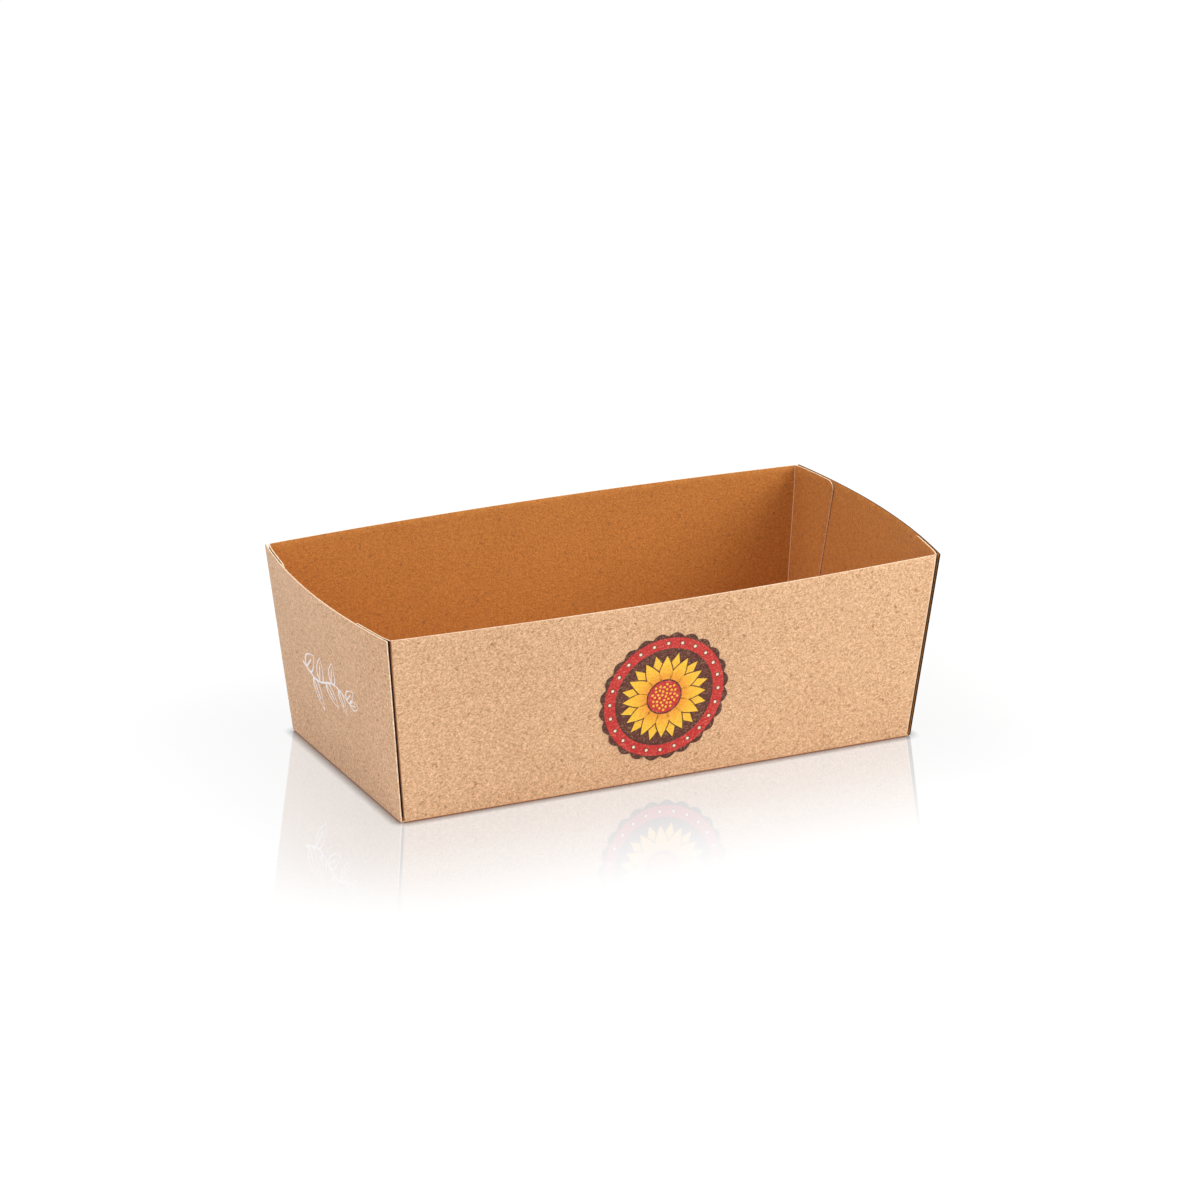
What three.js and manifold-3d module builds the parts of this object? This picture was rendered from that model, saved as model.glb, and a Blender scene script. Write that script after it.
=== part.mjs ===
// Folded paper food tray: one sheet of unbleached board, creased, folded and glued at its four corners.
// Millimetres, +Z up. The origin is under the middle of the floor, and the long walls run along X.
import * as THREE from 'three';
import { ParametricGeometry } from 'three/addons/geometries/ParametricGeometry.js';
import { mergeGeometries, mergeVertices } from 'three/addons/utils/BufferGeometryUtils.js';
import Module from 'manifold-3d';

// Outside sizes, from fold line to fold line at the floor and from corner to corner at the rim
const baseLength = 170;
const baseWidth = 84;
const rimLength = 183;
const rimWidth = 94.5;
const height = 60;

// The board and its creases
const board = 0.45;
const creaseInside = 0.25;
const creaseOutside = creaseInside + board;

// Bulge of each wall at the middle of its rim, which fades towards the floor by this power of the height
const sideBow = 3.8;
const endBow = 4.3;
const bowFade = 1.4;

// Glue flaps, which turn in from the long walls and lie behind the end walls
const flapRimReach = 20;
const flapFootReach = 15;
const flapFootHeight = 1.6;
const flapFootClimb = 20;
const flapCornerRadius = 2.5;

// Space between a flap and its end wall: a film of glue low down, and open by more at the rim
const glueFilm = 0.12;
const rimOpening = 0.35;
const openingDepth = 14;

// The groove beside an upright crease, where the flap turns in short of its end wall, and its reach
const cornerGap = 0.3;
const cornerGapReach = 4;

// The glued field of a flap, kept in from its edges, and how far the film soaks into each board
const glueMargin = 3;
const glueFoot = 14;
const glueSoak = 0.09;

// Facets
const sideColumns = 20;
const endColumns = 12;
const wallRows = 8;
const creaseSteps = 4;
const cornerSteps = 5;
const flapColumns = 8;
const weldDistance = 0.0005;

const { lerp, degToRad, clamp } = THREE.MathUtils;

// Half the outer length and width between the corner edges at a height
const halfLengthAt = (z) => lerp(baseLength, rimLength, z / height) / 2;
const halfWidthAt = (z) => lerp(baseWidth, rimWidth, z / height) / 2;

// Outward bulge at a height and a place from -1 to 1 across a wall
const bulge = (bow, z, across) => bow * Math.pow(z / height, bowFade) * (1 - across * across);

// A crease between the floor and a wall that leans out by this run over the height
function footCrease(baseHalf, run) {
  const lean = Math.atan2(run, height);
  const turn = Math.PI / 2 - lean;
  const floorHalf = baseHalf - creaseOutside * Math.tan(turn / 2);
  const top = creaseOutside * (1 - Math.cos(turn));
  return { turn, floorHalf, top };
}

const sideCrease = footCrease(baseWidth / 2, (rimWidth - baseWidth) / 2);
const endCrease = footCrease(baseLength / 2, (rimLength - baseLength) / 2);

// Distance from a flap to its end wall at a height and a place along the flap
function flapSpace(z, y) {
  const opened = clamp((z - height + openingDepth) / openingDepth, 0, 1);
  const fromGroove = clamp((y + halfWidthAt(z)) / cornerGapReach, 0, 1);
  return glueFilm + (rimOpening - glueFilm) * opened ** 2 + cornerGap * (1 - fromGroove) ** 2;
}

// Outer face of a flap behind the end wall
function flapFace(z, y) {
  return halfLengthAt(z) + bulge(endBow, z, y / halfWidthAt(z)) - board - flapSpace(z, y);
}

// The upright crease between a long wall and its flap, in plan at a height
function cornerAt(z) {
  const sideSlope = Math.atan2(2 * bulge(sideBow, z, 0), halfLengthAt(z));
  const endSlope = Math.atan2(2 * bulge(endBow, z, 0), halfWidthAt(z));
  const centreY = creaseOutside * Math.cos(sideSlope) - halfWidthAt(z);
  const flapY = centreY - creaseOutside * Math.sin(endSlope);
  const centreX = flapFace(z, flapY) - creaseOutside * Math.cos(endSlope);
  const wallEnd = centreX + creaseOutside * Math.sin(sideSlope);
  return { centreX, centreY, from: sideSlope - Math.PI / 2, to: -endSlope, flapY, wallEnd };
}

// Front long wall, from its foot crease to the rim
function sideWall(u, v, target) {
  const across = 2 * u - 1;
  const z = lerp(sideCrease.top, height, v);
  target.set(across * cornerAt(z).wallEnd, -halfWidthAt(z) - bulge(sideBow, z, across), z);
}

// Crease between the floor and the front wall
function sideFoot(u, v, target) {
  const across = 2 * u - 1;
  const angle = v * sideCrease.turn;
  const z = creaseOutside * (1 - Math.cos(angle));
  const reach = lerp(endCrease.floorHalf, cornerAt(sideCrease.top).wallEnd, v);
  const y = sideCrease.floorHalf + creaseOutside * Math.sin(angle) + bulge(sideBow, z, across);
  target.set(across * reach, -y, z);
}

// Right end wall, whose raw edges reach the outer faces of the long walls
function endWall(u, v, target) {
  const across = 2 * u - 1;
  const z = lerp(endCrease.top, height, v);
  target.set(halfLengthAt(z) + bulge(endBow, z, across), across * halfWidthAt(z), z);
}

// Crease between the floor and the right end wall
function endFoot(u, v, target) {
  const across = 2 * u - 1;
  const angle = v * endCrease.turn;
  const z = creaseOutside * (1 - Math.cos(angle));
  const reach = lerp(sideCrease.floorHalf, halfWidthAt(endCrease.top), v);
  const x = endCrease.floorHalf + creaseOutside * Math.sin(angle) + bulge(endBow, z, across);
  target.set(x, across * reach, z);
}

// Rise of a rounded flap corner near the free edge
function cornerRise(distanceToEdge) {
  const into = clamp(flapCornerRadius - distanceToEdge, 0, flapCornerRadius);
  return flapCornerRadius - Math.sqrt(flapCornerRadius ** 2 - into ** 2);
}

// Upright crease that turns the front wall in behind an end wall, at side 1 or -1
function cornerCrease(side) {
  return (u, v, target) => {
    const turned = side > 0 ? u : 1 - u;
    const foot = lerp(sideCrease.top, flapFootHeight, turned);
    const z = lerp(foot, height, v);
    const corner = cornerAt(z);
    const angle = lerp(corner.from, corner.to, turned);
    const x = corner.centreX + creaseOutside * Math.cos(angle);
    target.set(side * x, corner.centreY + creaseOutside * Math.sin(angle), z);
  };
}

// Glue flap of the front wall, from its crease to its free edge
function glueFlap(side) {
  return (u, v, target) => {
    const along = Math.sin((side > 0 ? u : 1 - u) * Math.PI / 2);
    const rounding = cornerRise((1 - along) * flapFootReach);
    const climb = along * flapFootReach * Math.tan(degToRad(flapFootClimb));
    const z = lerp(flapFootHeight + climb + rounding, height - rounding, v);
    const y = cornerAt(z).flapY + along * lerp(flapFootReach, flapRimReach, z / height);
    target.set(side * flapFace(z, y), y, z);
  };
}

// Flat floor, with a point wherever a column of a crease meets it
function floorSkin() {
  const { floorHalf: halfX } = endCrease;
  const { floorHalf: halfY } = sideCrease;
  const outline = [];
  for (let i = 0; i < sideColumns; i++) outline.push([lerp(-halfX, halfX, i / sideColumns), -halfY]);
  for (let i = 0; i < endColumns; i++) outline.push([halfX, lerp(-halfY, halfY, i / endColumns)]);
  for (let i = 0; i < sideColumns; i++) outline.push([lerp(halfX, -halfX, i / sideColumns), halfY]);
  for (let i = 0; i < endColumns; i++) outline.push([-halfX, lerp(halfY, -halfY, i / endColumns)]);
  const shape = new THREE.Shape(outline.map(([x, y]) => new THREE.Vector2(x, y)));
  return new THREE.ShapeGeometry(shape).rotateX(Math.PI);
}

// Skins of the front wall, its flaps and one end wall; half a turn makes the other half of the tray
function halfTraySkins() {
  return [
    new ParametricGeometry(sideFoot, sideColumns, creaseSteps),
    new ParametricGeometry(sideWall, sideColumns, wallRows),
    new ParametricGeometry(endFoot, endColumns, creaseSteps),
    new ParametricGeometry(endWall, endColumns, wallRows),
    ...[1, -1].flatMap((side) => [
      new ParametricGeometry(cornerCrease(side), cornerSteps, wallRows),
      new ParametricGeometry(glueFlap(side), flapColumns, wallRows),
    ]),
  ];
}

// A geometry with nothing but its corners and faces, its shared corners joined
function welded(geometry) {
  geometry.deleteAttribute('normal');
  geometry.deleteAttribute('uv');
  return mergeVertices(geometry, weldDistance);
}

// The outer skin gets the thickness of the board inwards, with a raw edge along every free border
function boardFrom(skin) {
  skin.computeVertexNormals();
  const outer = skin.getAttribute('position');
  const normals = skin.getAttribute('normal');
  const faces = Array.from(skin.getIndex().array);
  const points = Array.from(outer.array);
  for (let i = 0; i < outer.count; i++) {
    points.push(
      outer.getX(i) - board * normals.getX(i),
      outer.getY(i) - board * normals.getY(i),
      outer.getZ(i) - board * normals.getZ(i),
    );
  }
  const edges = new Set();
  for (let i = 0; i < faces.length; i += 3) {
    for (let k = 0; k < 3; k++) edges.add(`${faces[i + k]},${faces[i + (k + 1) % 3]}`);
  }
  const solid = [...faces];
  for (let i = 0; i < faces.length; i += 3) {
    solid.push(faces[i] + outer.count, faces[i + 2] + outer.count, faces[i + 1] + outer.count);
  }
  for (const edge of edges) {
    const [a, b] = edge.split(',').map(Number);
    if (edges.has(`${b},${a}`)) continue;
    solid.push(b, a, a + outer.count, b, a + outer.count, b + outer.count);
  }
  const geometry = new THREE.BufferGeometry();
  geometry.setAttribute('position', new THREE.Float32BufferAttribute(points, 3));
  geometry.setIndex(solid);
  return geometry;
}

// Film of glue between a flap of the front wall and its end wall
function glueField(side) {
  const field = welded(new THREE.BoxGeometry(1, 1, 1, flapColumns, wallRows, 1));
  const position = field.getAttribute('position');
  for (let i = 0; i < position.count; i++) {
    const across = position.getX(i) + 0.5;
    const along = side > 0 ? across : 1 - across;
    const z = lerp(glueFoot, height - openingDepth, position.getY(i) + 0.5);
    const y = cornerAt(z).flapY + lerp(glueMargin, flapFootReach - glueMargin, along);
    const depth = lerp(-glueSoak, glueFilm + glueSoak, position.getZ(i) + 0.5);
    position.setXYZ(i, side * (flapFace(z, y) + depth), y, z);
  }
  return field;
}

const wasm = await Module();
wasm.setup();

function solidFrom(geometry) {
  const vertProperties = new Float32Array(geometry.getAttribute('position').array);
  const triVerts = new Uint32Array(geometry.getIndex().array);
  return new wasm.Manifold(new wasm.Mesh({ numProp: 3, vertProperties, triVerts }));
}

// The folded sheet with its four glued corners
function trayGeometry() {
  const half = halfTraySkins();
  const turned = half.map((skin) => skin.clone().rotateZ(Math.PI));
  const sheet = boardFrom(welded(mergeGeometries([floorSkin(), ...half, ...turned])));
  let tray = solidFrom(sheet);
  for (const side of [1, -1]) {
    const field = glueField(side);
    tray = tray.add(solidFrom(field)).add(solidFrom(field.clone().rotateZ(Math.PI)));
  }
  const mesh = tray.getMesh();
  const geometry = new THREE.BufferGeometry();
  geometry.setAttribute('position', new THREE.BufferAttribute(mesh.vertProperties, 3));
  geometry.setIndex(new THREE.BufferAttribute(mesh.triVerts, 1));
  geometry.computeVertexNormals();
  return geometry;
}

const brownBoard = new THREE.MeshStandardMaterial({ color: '#d2a679', roughness: 0.88, metalness: 0 });

const tray = new THREE.Mesh(trayGeometry(), brownBoard);
tray.name = 'tray';

const foodTray = new THREE.Group();
foodTray.add(tray);

export default foodTray;
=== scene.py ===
import bpy
import math
from mathutils import Matrix, Vector


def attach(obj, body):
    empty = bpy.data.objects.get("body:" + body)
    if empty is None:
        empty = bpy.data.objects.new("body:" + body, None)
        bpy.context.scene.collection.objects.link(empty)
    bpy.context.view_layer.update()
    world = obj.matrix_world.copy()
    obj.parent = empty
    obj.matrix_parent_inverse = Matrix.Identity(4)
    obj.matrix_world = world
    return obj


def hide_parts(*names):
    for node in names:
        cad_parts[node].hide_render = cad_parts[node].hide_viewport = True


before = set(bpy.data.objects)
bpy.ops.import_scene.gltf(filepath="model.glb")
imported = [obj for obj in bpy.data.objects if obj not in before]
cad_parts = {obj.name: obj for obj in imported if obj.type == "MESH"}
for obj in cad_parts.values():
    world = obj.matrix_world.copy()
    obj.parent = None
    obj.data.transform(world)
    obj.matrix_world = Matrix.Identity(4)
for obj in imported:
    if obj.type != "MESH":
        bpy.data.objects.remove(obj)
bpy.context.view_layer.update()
scene = bpy.context.scene
scene.view_settings.view_transform = "Standard"


# Small helpers for node trees

def put(tree, kind, **settings):
    node = tree.nodes.new(kind)
    for name, value in settings.items():
        setattr(node, name, value)
    return node


def feed(tree, socket, value):
    if isinstance(value, bpy.types.NodeSocket):
        tree.links.new(value, socket)
    else:
        socket.default_value = value


def calc(tree, operation, *values):  # a Math node
    node = put(tree, "ShaderNodeMath", operation=operation)
    for socket, value in zip(node.inputs, values):
        feed(tree, socket, value)
    return node.outputs[0]


def spread(tree, value, low, high):  # 0 to 1 between low and high, smooth
    node = put(tree, "ShaderNodeMapRange", interpolation_type="SMOOTHSTEP")
    for name, number in (("Value", value), ("From Min", low), ("From Max", high)):
        feed(tree, node.inputs[name], number)
    return node.outputs[0]


def between(tree, low, high, share):
    node = put(tree, "ShaderNodeMapRange", clamp=False)
    for name, number in (("Value", share), ("To Min", low), ("To Max", high)):
        feed(tree, node.inputs[name], number)
    return node.outputs[0]


def vector(tree, x, y, z):
    node = put(tree, "ShaderNodeCombineXYZ")
    for socket, value in zip(node.inputs, (x, y, z)):
        feed(tree, socket, value)
    return node.outputs[0]


def axes(tree, value):
    node = put(tree, "ShaderNodeSeparateXYZ")
    feed(tree, node.inputs[0], value)
    return node.outputs


def vectorCalc(tree, operation, *values):
    node = put(tree, "ShaderNodeVectorMath", operation=operation)
    sockets = list(node.inputs)
    if operation == "SCALE":
        sockets[1] = node.inputs["Scale"]
    for socket, value in zip(sockets, values):
        feed(tree, socket, value)
    return node.outputs[0]


def turned(tree, value, angle):  # a vector turned about Z
    node = put(tree, "ShaderNodeVectorRotate", rotation_type="Z_AXIS")
    feed(tree, node.inputs["Vector"], value)
    feed(tree, node.inputs["Angle"], angle)
    return node.outputs[0]


def newGroup(name, kind, inputs, outputs):
    tree = bpy.data.node_groups.new(name, kind)
    for direction, sockets in (("INPUT", inputs), ("OUTPUT", outputs)):
        for socketName, socketType in sockets.items():
            tree.interface.new_socket(socketName, in_out=direction, socket_type="NodeSocket" + socketType)
    return tree, put(tree, "NodeGroupInput").outputs, put(tree, "NodeGroupOutput").inputs


def useGroup(tree, group, **values):
    kind = "ShaderNodeGroup" if tree.bl_idname == "ShaderNodeTree" else "GeometryNodeGroup"
    node = put(tree, kind, node_tree=group)
    for name, value in values.items():
        feed(tree, node.inputs[name], value)
    return node.outputs


def linear(red, green, blue):  # levels from 0 to 255 as a screen shows them, by the sRGB curve
    def channel(level):
        share = level / 255
        return share / 12.92 if share <= 0.04045 else ((share + 0.055) / 1.055) ** 2.4
    return channel(red), channel(green), channel(blue), 1


# Camera

cameraView = {
    "aim": (-0.0006, 0, 0.0436),  # a point on the middle line of the view
    "azimuth": -25.22,
    "elevation": 19.93,
    "roll": 0.16,
    "distance": 1.7166,
    "lens": 168.6,
    "sensor": 36,
}


def addCamera(view):
    data = bpy.data.cameras.new("camera")
    data.lens = view["lens"]
    data.sensor_width = view["sensor"]
    data.sensor_fit = "HORIZONTAL"
    turn = Matrix.Rotation(math.radians(view["azimuth"]), 4, "Z")
    tilt = Matrix.Rotation(math.radians(90 - view["elevation"]), 4, "X")
    roll = Matrix.Rotation(math.radians(view["roll"]), 4, "Z")
    back = Matrix.Translation((0, 0, view["distance"]))
    camera = bpy.data.objects.new("camera", data)
    camera.matrix_world = Matrix.Translation(view["aim"]) @ turn @ tilt @ roll @ back
    scene.collection.objects.link(camera)
    scene.camera = camera


addCamera(cameraView)
print("camera placed")


# Sheet: the straight walled blank first, and its bulge in Geometry Nodes

traySizes = {
    "baseLength": 0.1706,  # 0.6 mm over the solid's, which sets the foot corners where the photo has them
    "baseWidth": 0.084,
    "rimLength": 0.183,
    "rimWidth": 0.0945,
    "height": 0.060,
    "board": 0.00045,
    "creaseInside": 0.00015,  # tighter than the solid's, for the same reason
    "sideBow": 0.0038,
    "endBow": 0.0043,
    "bowFade": 1.4,
    "flapRimReach": 0.020,
    "flapFootReach": 0.015,
    "flapFootHeight": 0.0016,
    "flapFootClimb": 20,
    "flapCorner": 0.0025,
    "glueFilm": 0.00012,
    "rimOpening": 0.00035,
    "openingDepth": 0.014,
    "cornerGap": 0.0005,  # wider than the solid's, so that the groove shows
    "cornerGapReach": 0.004,
    "ripple": 0.00012,  # how far the board waves in and out
    "sideColumns": 84,
    "endColumns": 44,
    "wallRows": 28,
    "creaseSteps": 6,
    "flapColumns": 14,
}
board = traySizes["board"]
trayHeight = traySizes["height"]
creaseOutside = traySizes["creaseInside"] + board


def mix(low, high, share):
    return low + (high - low) * share


def halfLengthAt(z):
    return mix(traySizes["baseLength"], traySizes["rimLength"], z / trayHeight) / 2


def halfWidthAt(z):
    return mix(traySizes["baseWidth"], traySizes["rimWidth"], z / trayHeight) / 2


class FootCrease:  # the round fold between the floor and a leaning wall
    def __init__(self, baseHalf, rimHalf):
        self.lean = math.atan2(rimHalf - baseHalf, trayHeight)
        self.turn = math.pi / 2 - self.lean
        self.floorHalf = baseHalf - creaseOutside * math.tan(self.turn / 2)
        self.top = creaseOutside * (1 - math.cos(self.turn))
        self.blankFoot = self.floorHalf + creaseOutside * self.turn - self.top / math.cos(self.lean)

    def blankAt(self, z):  # distance from the middle of the flat blank to a height on the wall
        return self.blankFoot + z / math.cos(self.lean)


sideCrease = FootCrease(traySizes["baseWidth"] / 2, traySizes["rimWidth"] / 2)
endCrease = FootCrease(traySizes["baseLength"] / 2, traySizes["rimLength"] / 2)


def clamp(value):
    return min(max(value, 0), 1)


# Outer face of a glue flap, which stands off its end wall beside the fold and at the rim
def flapFace(z, fromCorner):
    opened = clamp((z - trayHeight + traySizes["openingDepth"]) / traySizes["openingDepth"])
    space = mix(traySizes["glueFilm"], traySizes["rimOpening"], opened * opened)
    groove = traySizes["cornerGap"] * (1 - clamp(fromCorner / traySizes["cornerGapReach"])) ** 2
    return halfLengthAt(z) - board - space - groove


def wallEndAt(z):
    return flapFace(z, creaseOutside) - creaseOutside


def point(place, blank, outward=(0, 0, 0), bulge=0, end=0, crease=0, groove=0, fold=0):
    return {
        "place": Vector(place),
        "blank": Vector((blank[0], blank[1], 0)),
        "outward": Vector(outward),
        "bulge": bulge,
        "end": end,
        "crease": crease,
        "groove": groove,
        "fold": fold,
    }


def floorPoint(u, v):
    x = (2 * u - 1) * endCrease.floorHalf
    y = (1 - 2 * v) * sideCrease.floorHalf
    return point((x, y, 0), (x, y))


def sideFootPoint(u, v):
    across = 2 * u - 1
    angle = v * sideCrease.turn
    x = across * mix(endCrease.floorHalf, wallEndAt(sideCrease.top), v)
    y = sideCrease.floorHalf + creaseOutside * math.sin(angle)
    z = creaseOutside * (1 - math.cos(angle))
    blank = (x, -sideCrease.floorHalf - creaseOutside * angle)
    return point((x, -y, z), blank, (0, -1, 0), 1 - across ** 2, 0, math.sin(math.pi * v))


def sideWallPoint(u, v):
    across = 2 * u - 1
    z = mix(sideCrease.top, trayHeight, v)
    x = across * wallEndAt(z)
    return point((x, -halfWidthAt(z), z), (x, -sideCrease.blankAt(z)), (0, -1, 0), 1 - across ** 2)


def endFootPoint(u, v):
    across = 2 * u - 1
    angle = v * endCrease.turn
    x = endCrease.floorHalf + creaseOutside * math.sin(angle)
    y = across * mix(sideCrease.floorHalf, halfWidthAt(endCrease.top), v)
    z = creaseOutside * (1 - math.cos(angle))
    blank = (endCrease.floorHalf + creaseOutside * angle, y)
    return point((x, y, z), blank, (1, 0, 0), 1 - across ** 2, 1, math.sin(math.pi * v))


def endWallPoint(u, v):
    across = 2 * u - 1
    z = mix(endCrease.top, trayHeight, v)
    y = across * halfWidthAt(z)
    return point((halfLengthAt(z), y, z), (endCrease.blankAt(z), y), (1, 0, 0), 1 - across ** 2, 1)


# the fold's painted highlight and the groove's painted shade grow round the bend at these rates
cornerMarks = {"foldLightRate": 1.5, "grooveShadeRate": 3, "grooveShadeDelay": 0.7}  # how each mark grows round the bend


def cornerPoint(side):
    def place(u, v):
        bent = u if side > 0 else 1 - u
        z = mix(mix(sideCrease.top, traySizes["flapFootHeight"], bent), trayHeight, v)
        angle = (bent - 1) * math.pi / 2
        centreY = creaseOutside - halfWidthAt(z)
        x = wallEndAt(z) + creaseOutside * math.cos(angle)
        y = centreY + creaseOutside * math.sin(angle)
        share = 1 - (centreY / halfWidthAt(z)) ** 2
        blank = (side * (wallEndAt(z) + creaseOutside * bent * math.pi / 2), -sideCrease.blankAt(z))
        groove = clamp(cornerMarks["grooveShadeRate"] * bent - cornerMarks["grooveShadeDelay"])
        # mask of the fold's painted highlight and painted shade
        fold = math.sin(math.pi * min(1, cornerMarks["foldLightRate"] * bent))
        return point((side * x, y, z), blank, (side, 0, 0), bent * share, 1, 0, groove, fold)
    return place


def flapPoint(side):
    def place(u, v):
        along = math.sin((u if side > 0 else 1 - u) * math.pi / 2)
        radius = traySizes["flapCorner"]
        into = min(max(radius - (1 - along) * traySizes["flapFootReach"], 0), radius)
        rounding = radius - math.sqrt(radius ** 2 - into ** 2)
        climb = along * traySizes["flapFootReach"] * math.tan(math.radians(traySizes["flapFootClimb"]))
        z = mix(traySizes["flapFootHeight"] + climb + rounding, trayHeight - rounding, v)
        reach = along * mix(traySizes["flapFootReach"], traySizes["flapRimReach"], z / trayHeight)
        y = creaseOutside - halfWidthAt(z) + reach
        share = 1 - (y / halfWidthAt(z)) ** 2
        blank = (side * (wallEndAt(z) + creaseOutside * math.pi / 2 + reach), -sideCrease.blankAt(z))
        x = side * flapFace(z, creaseOutside + reach)
        return point((x, y, z), blank, (side, 0, 0), share, 1, 0, 1)
    return place


weldSteps = 1e6  # points in the same thousandth of a millimetre are one


def skinMesh(name):  # the outer face of the whole sheet, without its bulge
    points, faces, known = [], [], {}

    def addPoint(made, half):
        spin = Matrix.Rotation(math.pi * half, 3, "Z")
        made = {**made, **{key: spin @ made[key] for key in ("place", "blank", "outward")}}
        key = tuple(round(value * weldSteps) for value in made["place"])
        if key not in known:
            known[key] = len(points)
            points.append(made)
        return known[key]

    def addPanel(place, columns, rows, half):
        grid = [
            [addPoint(place(i / columns, j / rows), half) for i in range(columns + 1)]
            for j in range(rows + 1)
        ]
        for j in range(rows):
            for i in range(columns):
                corners = (grid[j][i], grid[j][i + 1], grid[j + 1][i + 1], grid[j + 1][i])
                face = list(dict.fromkeys(corners))
                if len(face) > 2:
                    faces.append(face)

    sizes = traySizes
    addPanel(floorPoint, sizes["sideColumns"], sizes["endColumns"], 0)
    for half in (0, 1):
        addPanel(sideFootPoint, sizes["sideColumns"], sizes["creaseSteps"], half)
        addPanel(sideWallPoint, sizes["sideColumns"], sizes["wallRows"], half)
        addPanel(endFootPoint, sizes["endColumns"], sizes["creaseSteps"], half)
        addPanel(endWallPoint, sizes["endColumns"], sizes["wallRows"], half)
        for side in (1, -1):
            addPanel(cornerPoint(side), sizes["creaseSteps"], sizes["wallRows"], half)
            addPanel(flapPoint(side), sizes["flapColumns"], sizes["wallRows"], half)
    mesh = bpy.data.meshes.new(name)
    mesh.from_pydata([made["place"] for made in points], [], faces)
    for key, kind in (("blank", "FLOAT_VECTOR"), ("outward", "FLOAT_VECTOR")):
        flat = [number for made in points for number in made[key]]
        mesh.attributes.new(key, kind, "POINT").data.foreach_set("vector", flat)
    for key in ("bulge", "end", "crease", "groove", "fold"):
        mesh.attributes.new(key, "FLOAT", "POINT").data.foreach_set("value", [made[key] for made in points])
    return mesh


# Geometry Nodes shared by the sheet and its print

wallRule = {
    "Bow Fade": traySizes["bowFade"],
    "Tray Height": trayHeight,
    "Ripple": traySizes["ripple"],
    "Ripple Size": 0.045,
    "Seed": 5.0,
}
ruleSockets = {name: "Float" for name in wallRule}


def wallReachGroup():  # how far a place on a straight wall stands out once the wall bulges and ripples
    inputs = {"Place": "Vector", "Share": "Float", "Bow": "Float", **ruleSockets}
    tree, given, result = newGroup("wallReach", "GeometryNodeTree", inputs, {"Reach": "Float"})
    height = calc(tree, "MAXIMUM", axes(tree, given["Place"])[2], 0.0)
    level = calc(tree, "DIVIDE", height, given["Tray Height"])
    faded = calc(tree, "POWER", level, given["Bow Fade"])
    bulge = calc(tree, "MULTIPLY", calc(tree, "MULTIPLY", faded, given["Bow"]), given["Share"])
    noise = put(tree, "ShaderNodeTexNoise", noise_dimensions="4D")
    feed(tree, noise.inputs["Vector"], given["Place"])
    feed(tree, noise.inputs["W"], given["Seed"])
    feed(tree, noise.inputs["Scale"], calc(tree, "DIVIDE", 1.0, given["Ripple Size"]))
    noise.inputs["Detail"].default_value = 1.0
    wave = calc(tree, "MULTIPLY", calc(tree, "SUBTRACT", noise.outputs[0], 0.5), given["Ripple"])
    doubled = calc(tree, "MULTIPLY", level, 2.0)  # because the noise strays only half a unit either way
    feed(tree, result["Reach"], calc(tree, "MULTIPLY_ADD", wave, doubled, bulge))
    return tree


wallReach = wallReachGroup()


def reachOf(tree, given, place, share, bow):
    rule = {name: given[name] for name in wallRule}
    return useGroup(tree, wallReach, **{"Place": place, "Share": share, "Bow": bow, **rule})["Reach"]


def attribute(tree, name, kind="FLOAT"):
    node = put(tree, "GeometryNodeInputNamedAttribute", data_type=kind)
    node.inputs["Name"].default_value = name
    return node.outputs["Attribute"]


def store(tree, geometry, name, value, kind):
    node = put(tree, "GeometryNodeStoreNamedAttribute", data_type=kind, domain="POINT")
    feed(tree, node.inputs["Geometry"], geometry)
    node.inputs["Name"].default_value = name
    feed(tree, [socket for socket in node.inputs if socket.name == "Value" and socket.enabled][0], value)
    return node.outputs[0]


def moved(tree, geometry, position=None, offset=None):
    node = put(tree, "GeometryNodeSetPosition")
    feed(tree, node.inputs["Geometry"], geometry)
    if position is not None:
        feed(tree, node.inputs["Position"], position)
    if offset is not None:
        feed(tree, node.inputs["Offset"], offset)
    return node.outputs[0]


def finished(tree, geometry, material, result):  # every tree ends in these two nodes
    realized = put(tree, "GeometryNodeRealizeInstances")
    feed(tree, realized.inputs[0], geometry)
    painted = put(tree, "GeometryNodeSetMaterial")
    feed(tree, painted.inputs["Geometry"], realized.outputs[0])
    feed(tree, painted.inputs["Material"], material)
    feed(tree, result["Geometry"], painted.outputs[0])


def runTree(name, mesh, tree, values):
    piece = bpy.data.objects.new(name, mesh)
    scene.collection.objects.link(piece)
    modifier = piece.modifiers.new("build", "NODES")
    modifier.node_group = tree
    for item in tree.interface.items_tree:
        if item.in_out == "INPUT" and item.name in values:
            modifier[item.identifier] = values[item.name]
    return plain(piece)


def plain(piece):  # the evaluated mesh in place of the modifiers
    graph = bpy.context.evaluated_depsgraph_get()
    shown = piece.evaluated_get(graph)
    mesh = bpy.data.meshes.new_from_object(shown, preserve_all_data_layers=True, depsgraph=graph)
    piece.modifiers.clear()
    piece.data = mesh
    for index in reversed([i for i, material in enumerate(mesh.materials) if material is None]):
        mesh.materials.pop(index=index)
    mesh.name = piece.name
    return piece


def bowedSheetTree():
    bows = {"Side Bow": "Float", "End Bow": "Float"}
    inputs = {"Geometry": "Geometry", **bows, **ruleSockets, "Material": "Material"}
    tree, given, result = newGroup("bowedSheet", "GeometryNodeTree", inputs, {"Geometry": "Geometry"})
    place = put(tree, "GeometryNodeInputPosition").outputs[0]
    bow = between(tree, given["Side Bow"], given["End Bow"], attribute(tree, "end"))
    reach = reachOf(tree, given, place, attribute(tree, "bulge"), bow)
    offset = vectorCalc(tree, "SCALE", attribute(tree, "outward", "FLOAT_VECTOR"), reach)
    finished(tree, moved(tree, given["Geometry"], offset=offset), given["Material"], result)
    return tree


# Materials

seedStep = (0.1, 0.17, 0.0)  # a seed moves the pattern this far along each axis


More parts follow.
